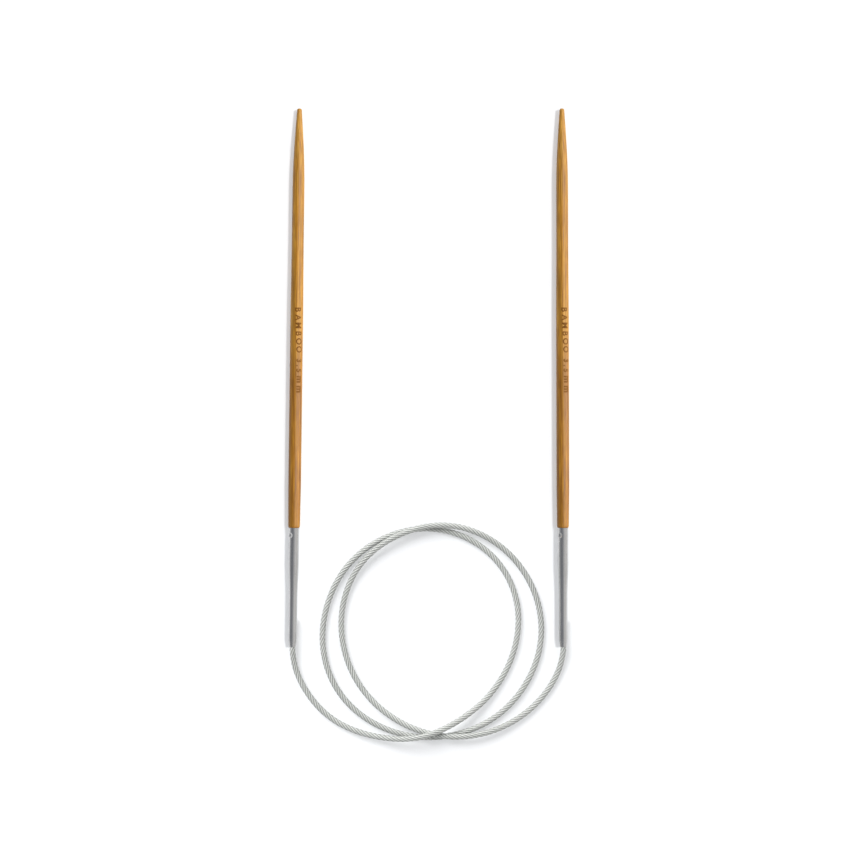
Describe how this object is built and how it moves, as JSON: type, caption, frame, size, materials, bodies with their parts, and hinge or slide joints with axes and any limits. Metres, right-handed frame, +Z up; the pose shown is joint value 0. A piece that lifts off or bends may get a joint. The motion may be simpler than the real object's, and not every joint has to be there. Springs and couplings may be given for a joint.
{
  "type": "circular knitting needle",
  "caption": "Two tapered bamboo needles with metal ferrules that swivel on the ends of one coated steel-rope cable, laid in loose loops.",
  "frame": {"origin": "on the resting surface, under the middle of the two needles' box", "axes": "+X from the left needle to the right one, +Y towards the points, +Z up from the resting surface"},
  "size_m": [0.0828, 0.1864, 0.0053],
  "materials": {
    "bamboo": "satin lacquer over fine lengthwise fibres",
    "ferrule": "polished along its length",
    "stop": "plain, hidden inside the ferrule",
    "nylon": "clear, slightly milky, smooth",
    "rope": "bright twisted strands"
  },
  "bodies": {
    "cable": {"cable_jacket": "nylon", "cable_rope": "rope"},
    "left_cable_end": {"left_end_jacket": "nylon", "left_end_rope": "rope", "left_cable_stop": "stop"},
    "left_hand": {"left_ferrule": "ferrule", "left_needle": "bamboo"},
    "right_cable_end": {"right_end_jacket": "nylon", "right_end_rope": "rope", "right_cable_stop": "stop"},
    "right_hand": {"right_ferrule": "ferrule", "right_needle": "bamboo"}
  },
  "joints": [
    {"name": "left_swing", "type": "hinge", "parent": "cable", "child": "left_cable_end", "pos_m": [-0.04016, -0.08015, 0.00185], "axis": [0, 0, 1], "range_deg": [-13, 30]},
    {"name": "left_swivel", "type": "hinge", "parent": "left_cable_end", "child": "left_hand", "pos_m": [-0.04016, -0.08015, 0.00185], "axis": [0.0131, 0.9999, 0], "continuous": true},
    {"name": "right_swing", "type": "hinge", "parent": "cable", "child": "right_cable_end", "pos_m": [0.03965, -0.08015, 0.00185], "axis": [0, 0, 1], "range_deg": [-30, 13]},
    {"name": "right_swivel", "type": "hinge", "parent": "right_cable_end", "child": "right_hand", "pos_m": [0.03965, -0.08015, 0.00185], "axis": [-0.0026, 1, 0], "continuous": true}
  ]
}
